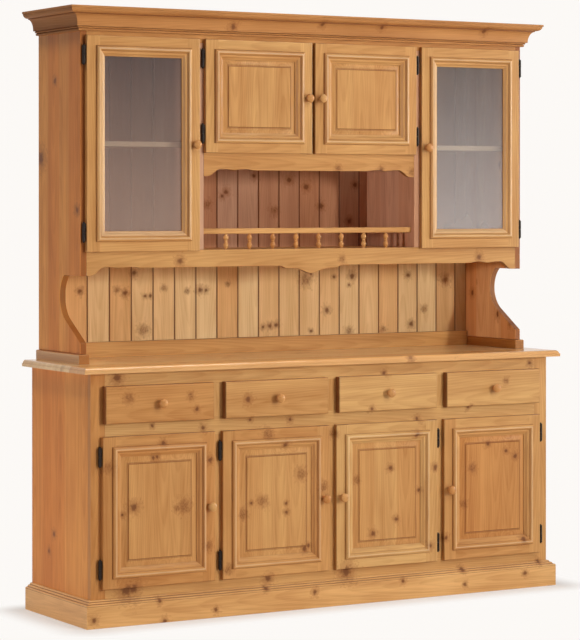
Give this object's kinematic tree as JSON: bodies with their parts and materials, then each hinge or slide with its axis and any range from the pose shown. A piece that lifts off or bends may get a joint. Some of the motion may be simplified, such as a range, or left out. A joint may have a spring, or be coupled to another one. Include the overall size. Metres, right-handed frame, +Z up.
{
  "type": "china cabinet",
  "caption": "Knotty pine dresser: cupboard base with drawers and panelled doors under a hutch with glazed end doors, a centre cupboard, an open niche with a spindle gallery, and a cornice.",
  "frame": {"origin": "on the floor, under the middle of the bounding box", "axes": "+Z up, +X to the right as seen from the front, +Y towards the back; the doors and drawers face -Y"},
  "size_m": [1.9774, 0.5264, 2.1108],
  "materials": {
    "base_pine": "waxed knotty pine, honey coloured",
    "hutch_pine": "waxed knotty pine, honey coloured",
    "counter_pine": "waxed pine boards, a little glossier",
    "drawer_pine": "waxed pine, grain across",
    "door_pine": "waxed pine frame",
    "panel_pine": "waxed knotty pine, grain upright",
    "knob_pine": "turned and waxed pine",
    "back_boards": "waxed V-grooved pine boards",
    "inside_pine": "plain pine, lightly waxed",
    "pane_glass": "clear sheet glass"
  },
  "bodies": {
    "cabinet": {"base_side_left": "base_pine", "base_side_right": "base_pine", "base_face_frame": "base_pine", "base_floor": "inside_pine", "base_back": "inside_pine", "base_partition": "inside_pine", "base_shelf_left": "inside_pine", "base_shelf_right": "inside_pine", "drawer_deck": "inside_pine", "plinth": "base_pine", "counter_top": "counter_pine", "hutch_side_left": "hutch_pine", "hutch_side_right": "hutch_pine", "hutch_top": "hutch_pine", "cornice": "hutch_pine", "hutch_back": "back_boards", "hutch_partition_left": "hutch_pine", "hutch_partition_right": "hutch_pine", "hutch_floor": "hutch_pine", "centre_floor": "hutch_pine", "hutch_shelf_left": "hutch_pine", "hutch_shelf_right": "hutch_pine", "apron": "hutch_pine", "niche_rail": "hutch_pine", "gallery": "hutch_pine", "hutch_foot_left": "hutch_pine", "hutch_foot_right": "hutch_pine", "hutch_back_rail": "hutch_pine"},
    "drawer_body_1": {"drawer_1": "drawer_pine", "drawer_knob_1": "knob_pine"},
    "drawer_body_2": {"drawer_2": "drawer_pine", "drawer_knob_2": "knob_pine"},
    "drawer_body_3": {"drawer_3": "drawer_pine", "drawer_knob_3": "knob_pine"},
    "drawer_body_4": {"drawer_4": "drawer_pine", "drawer_knob_4": "knob_pine"},
    "base_door_1": {"base_door_1_frame": "door_pine", "base_door_1_panel": "panel_pine", "base_door_1_knob": "knob_pine"},
    "base_door_2": {"base_door_2_frame": "door_pine", "base_door_2_panel": "panel_pine", "base_door_2_knob": "knob_pine"},
    "base_door_3": {"base_door_3_frame": "door_pine", "base_door_3_panel": "panel_pine", "base_door_3_knob": "knob_pine"},
    "base_door_4": {"base_door_4_frame": "door_pine", "base_door_4_panel": "panel_pine", "base_door_4_knob": "knob_pine"},
    "glazed_door_left": {"glazed_door_left_frame": "door_pine", "glazed_door_left_glass": "pane_glass", "glazed_door_left_knob": "knob_pine"},
    "glazed_door_right": {"glazed_door_right_frame": "door_pine", "glazed_door_right_glass": "pane_glass", "glazed_door_right_knob": "knob_pine"},
    "centre_door_left": {"centre_door_left_frame": "door_pine", "centre_door_left_panel": "panel_pine", "centre_door_left_knob": "knob_pine"},
    "centre_door_right": {"centre_door_right_frame": "door_pine", "centre_door_right_panel": "panel_pine", "centre_door_right_knob": "knob_pine"}
  },
  "joints": [
    {"name": "drawer_slide_1", "type": "slide", "parent": "cabinet", "child": "drawer_body_1", "axis": [0, -1, 0], "range_m": [0, 0.3]},
    {"name": "drawer_slide_2", "type": "slide", "parent": "cabinet", "child": "drawer_body_2", "axis": [0, -1, 0], "range_m": [0, 0.3]},
    {"name": "drawer_slide_3", "type": "slide", "parent": "cabinet", "child": "drawer_body_3", "axis": [0, -1, 0], "range_m": [0, 0.3]},
    {"name": "drawer_slide_4", "type": "slide", "parent": "cabinet", "child": "drawer_body_4", "axis": [0, -1, 0], "range_m": [0, 0.3]},
    {"name": "base_door_hinge_1", "type": "hinge", "parent": "cabinet", "child": "base_door_1", "pos_m": [-0.91875, -0.2176, 0.3856], "axis": [0, 0, -1], "range_deg": [0, 120]},
    {"name": "base_door_hinge_2", "type": "hinge", "parent": "cabinet", "child": "base_door_2", "pos_m": [-0.45575, -0.2176, 0.3856], "axis": [0, 0, -1], "range_deg": [0, 105]},
    {"name": "base_door_hinge_3", "type": "hinge", "parent": "cabinet", "child": "base_door_3", "pos_m": [0.45575, -0.2176, 0.3856], "axis": [0, 0, 1], "range_deg": [0, 105]},
    {"name": "base_door_hinge_4", "type": "hinge", "parent": "cabinet", "child": "base_door_4", "pos_m": [0.91875, -0.2176, 0.3856], "axis": [0, 0, 1], "range_deg": [0, 120]},
    {"name": "glazed_door_hinge_left", "type": "hinge", "parent": "cabinet", "child": "glazed_door_left", "pos_m": [-0.9152, -0.086, 1.641], "axis": [0, 0, -1], "range_deg": [0, 120]},
    {"name": "glazed_door_hinge_right", "type": "hinge", "parent": "cabinet", "child": "glazed_door_right", "pos_m": [0.9152, -0.086, 1.641], "axis": [0, 0, 1], "range_deg": [0, 120]},
    {"name": "centre_door_hinge_left", "type": "hinge", "parent": "cabinet", "child": "centre_door_left", "pos_m": [-0.4516, -0.086, 1.8135], "axis": [0, 0, -1], "range_deg": [0, 100]},
    {"name": "centre_door_hinge_right", "type": "hinge", "parent": "cabinet", "child": "centre_door_right", "pos_m": [0.4516, -0.086, 1.8135], "axis": [0, 0, 1], "range_deg": [0, 100]}
  ]
}
